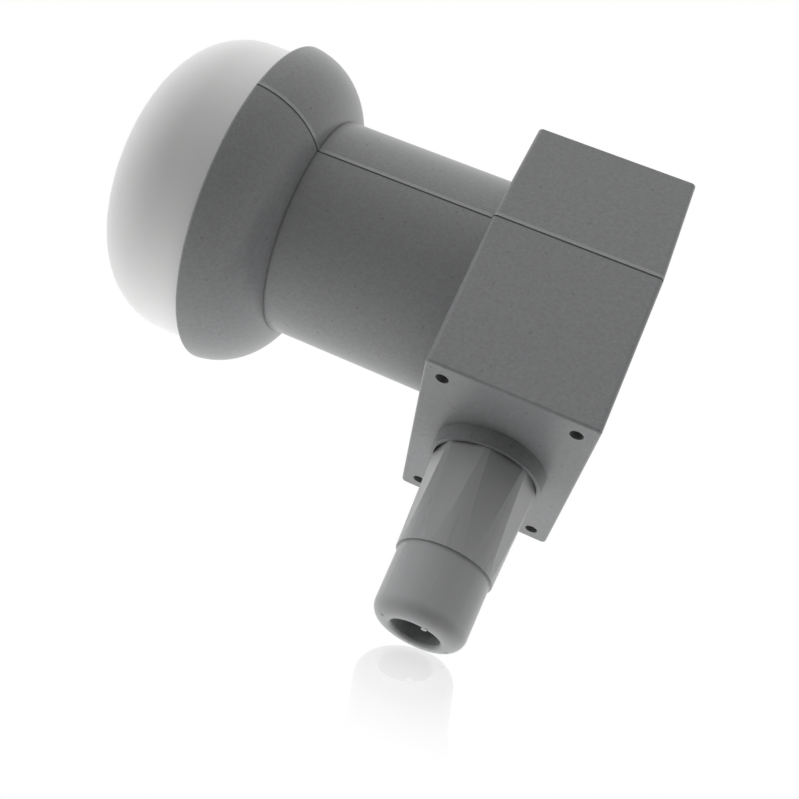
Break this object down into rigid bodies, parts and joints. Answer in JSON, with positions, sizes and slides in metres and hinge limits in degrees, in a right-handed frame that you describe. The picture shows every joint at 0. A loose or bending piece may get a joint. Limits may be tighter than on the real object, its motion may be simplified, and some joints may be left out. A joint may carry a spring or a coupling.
{
  "type": "satellite lnb",
  "caption": "Satellite LNB with a domed horn cap, flared collar, round clamping neck, box housing and a pull-off weather boot over the signal socket.",
  "frame": {"origin": "on the neck's axis, half way along the round neck that the holder clamps", "axes": "-Y along the neck towards the horn cap, -Z towards the weather boot, +X the side seen in the picture"},
  "size_m": [0.06, 0.0944, 0.09],
  "materials": {
    "shell_plastic": "fine even grain, mid grey",
    "boot_plastic": "smooth, mid grey",
    "cap_plastic": "satin white, a little light passes through",
    "horn_casting": "as cast, with turned bore",
    "cover_casting": "as cast",
    "screw_steel": "zinc plated",
    "cap_seal_rubber": "smooth black",
    "connector_seal_rubber": "smooth black",
    "gasket_rubber": "silver filled, grey",
    "board_laminate": "green solder mask over laminate",
    "probe_copper": "bare copper",
    "chip_resin": "black moulding resin",
    "transistor_resin": "black moulding resin",
    "crystal_can": "plain metal lid",
    "regulator_resin": "black moulding resin",
    "inductor_ferrite": "dark ferrite",
    "capacitor_ceramic": "tan ceramic",
    "socket_nickel": "nickel plated",
    "insulator_plastic": "white",
    "contact_brass": "plated spring brass"
  },
  "bodies": {
    "lnb": {"upper_shell": "shell_plastic", "lower_shell": "shell_plastic", "horn_cap": "cap_plastic", "feed_horn": "horn_casting", "back_cover": "cover_casting", "cover_screws": "screw_steel", "cap_seal": "cap_seal_rubber", "connector_seal": "connector_seal_rubber", "cover_gasket": "gasket_rubber", "circuit_board": "board_laminate", "signal_probes": "probe_copper", "downconverter_chip": "chip_resin", "amplifier_transistors": "transistor_resin", "reference_crystal": "crystal_can", "voltage_regulator": "regulator_resin", "surge_inductor": "inductor_ferrite", "chip_capacitors": "capacitor_ceramic", "f_connector": "socket_nickel", "connector_insulator": "insulator_plastic", "center_contact": "contact_brass"},
    "boot": {"weather_boot": "boot_plastic"}
  },
  "joints": [
    {"name": "boot_pull", "type": "slide", "parent": "lnb", "child": "boot", "axis": [0, 0, -1], "range_m": [0, 0.02]}
  ]
}
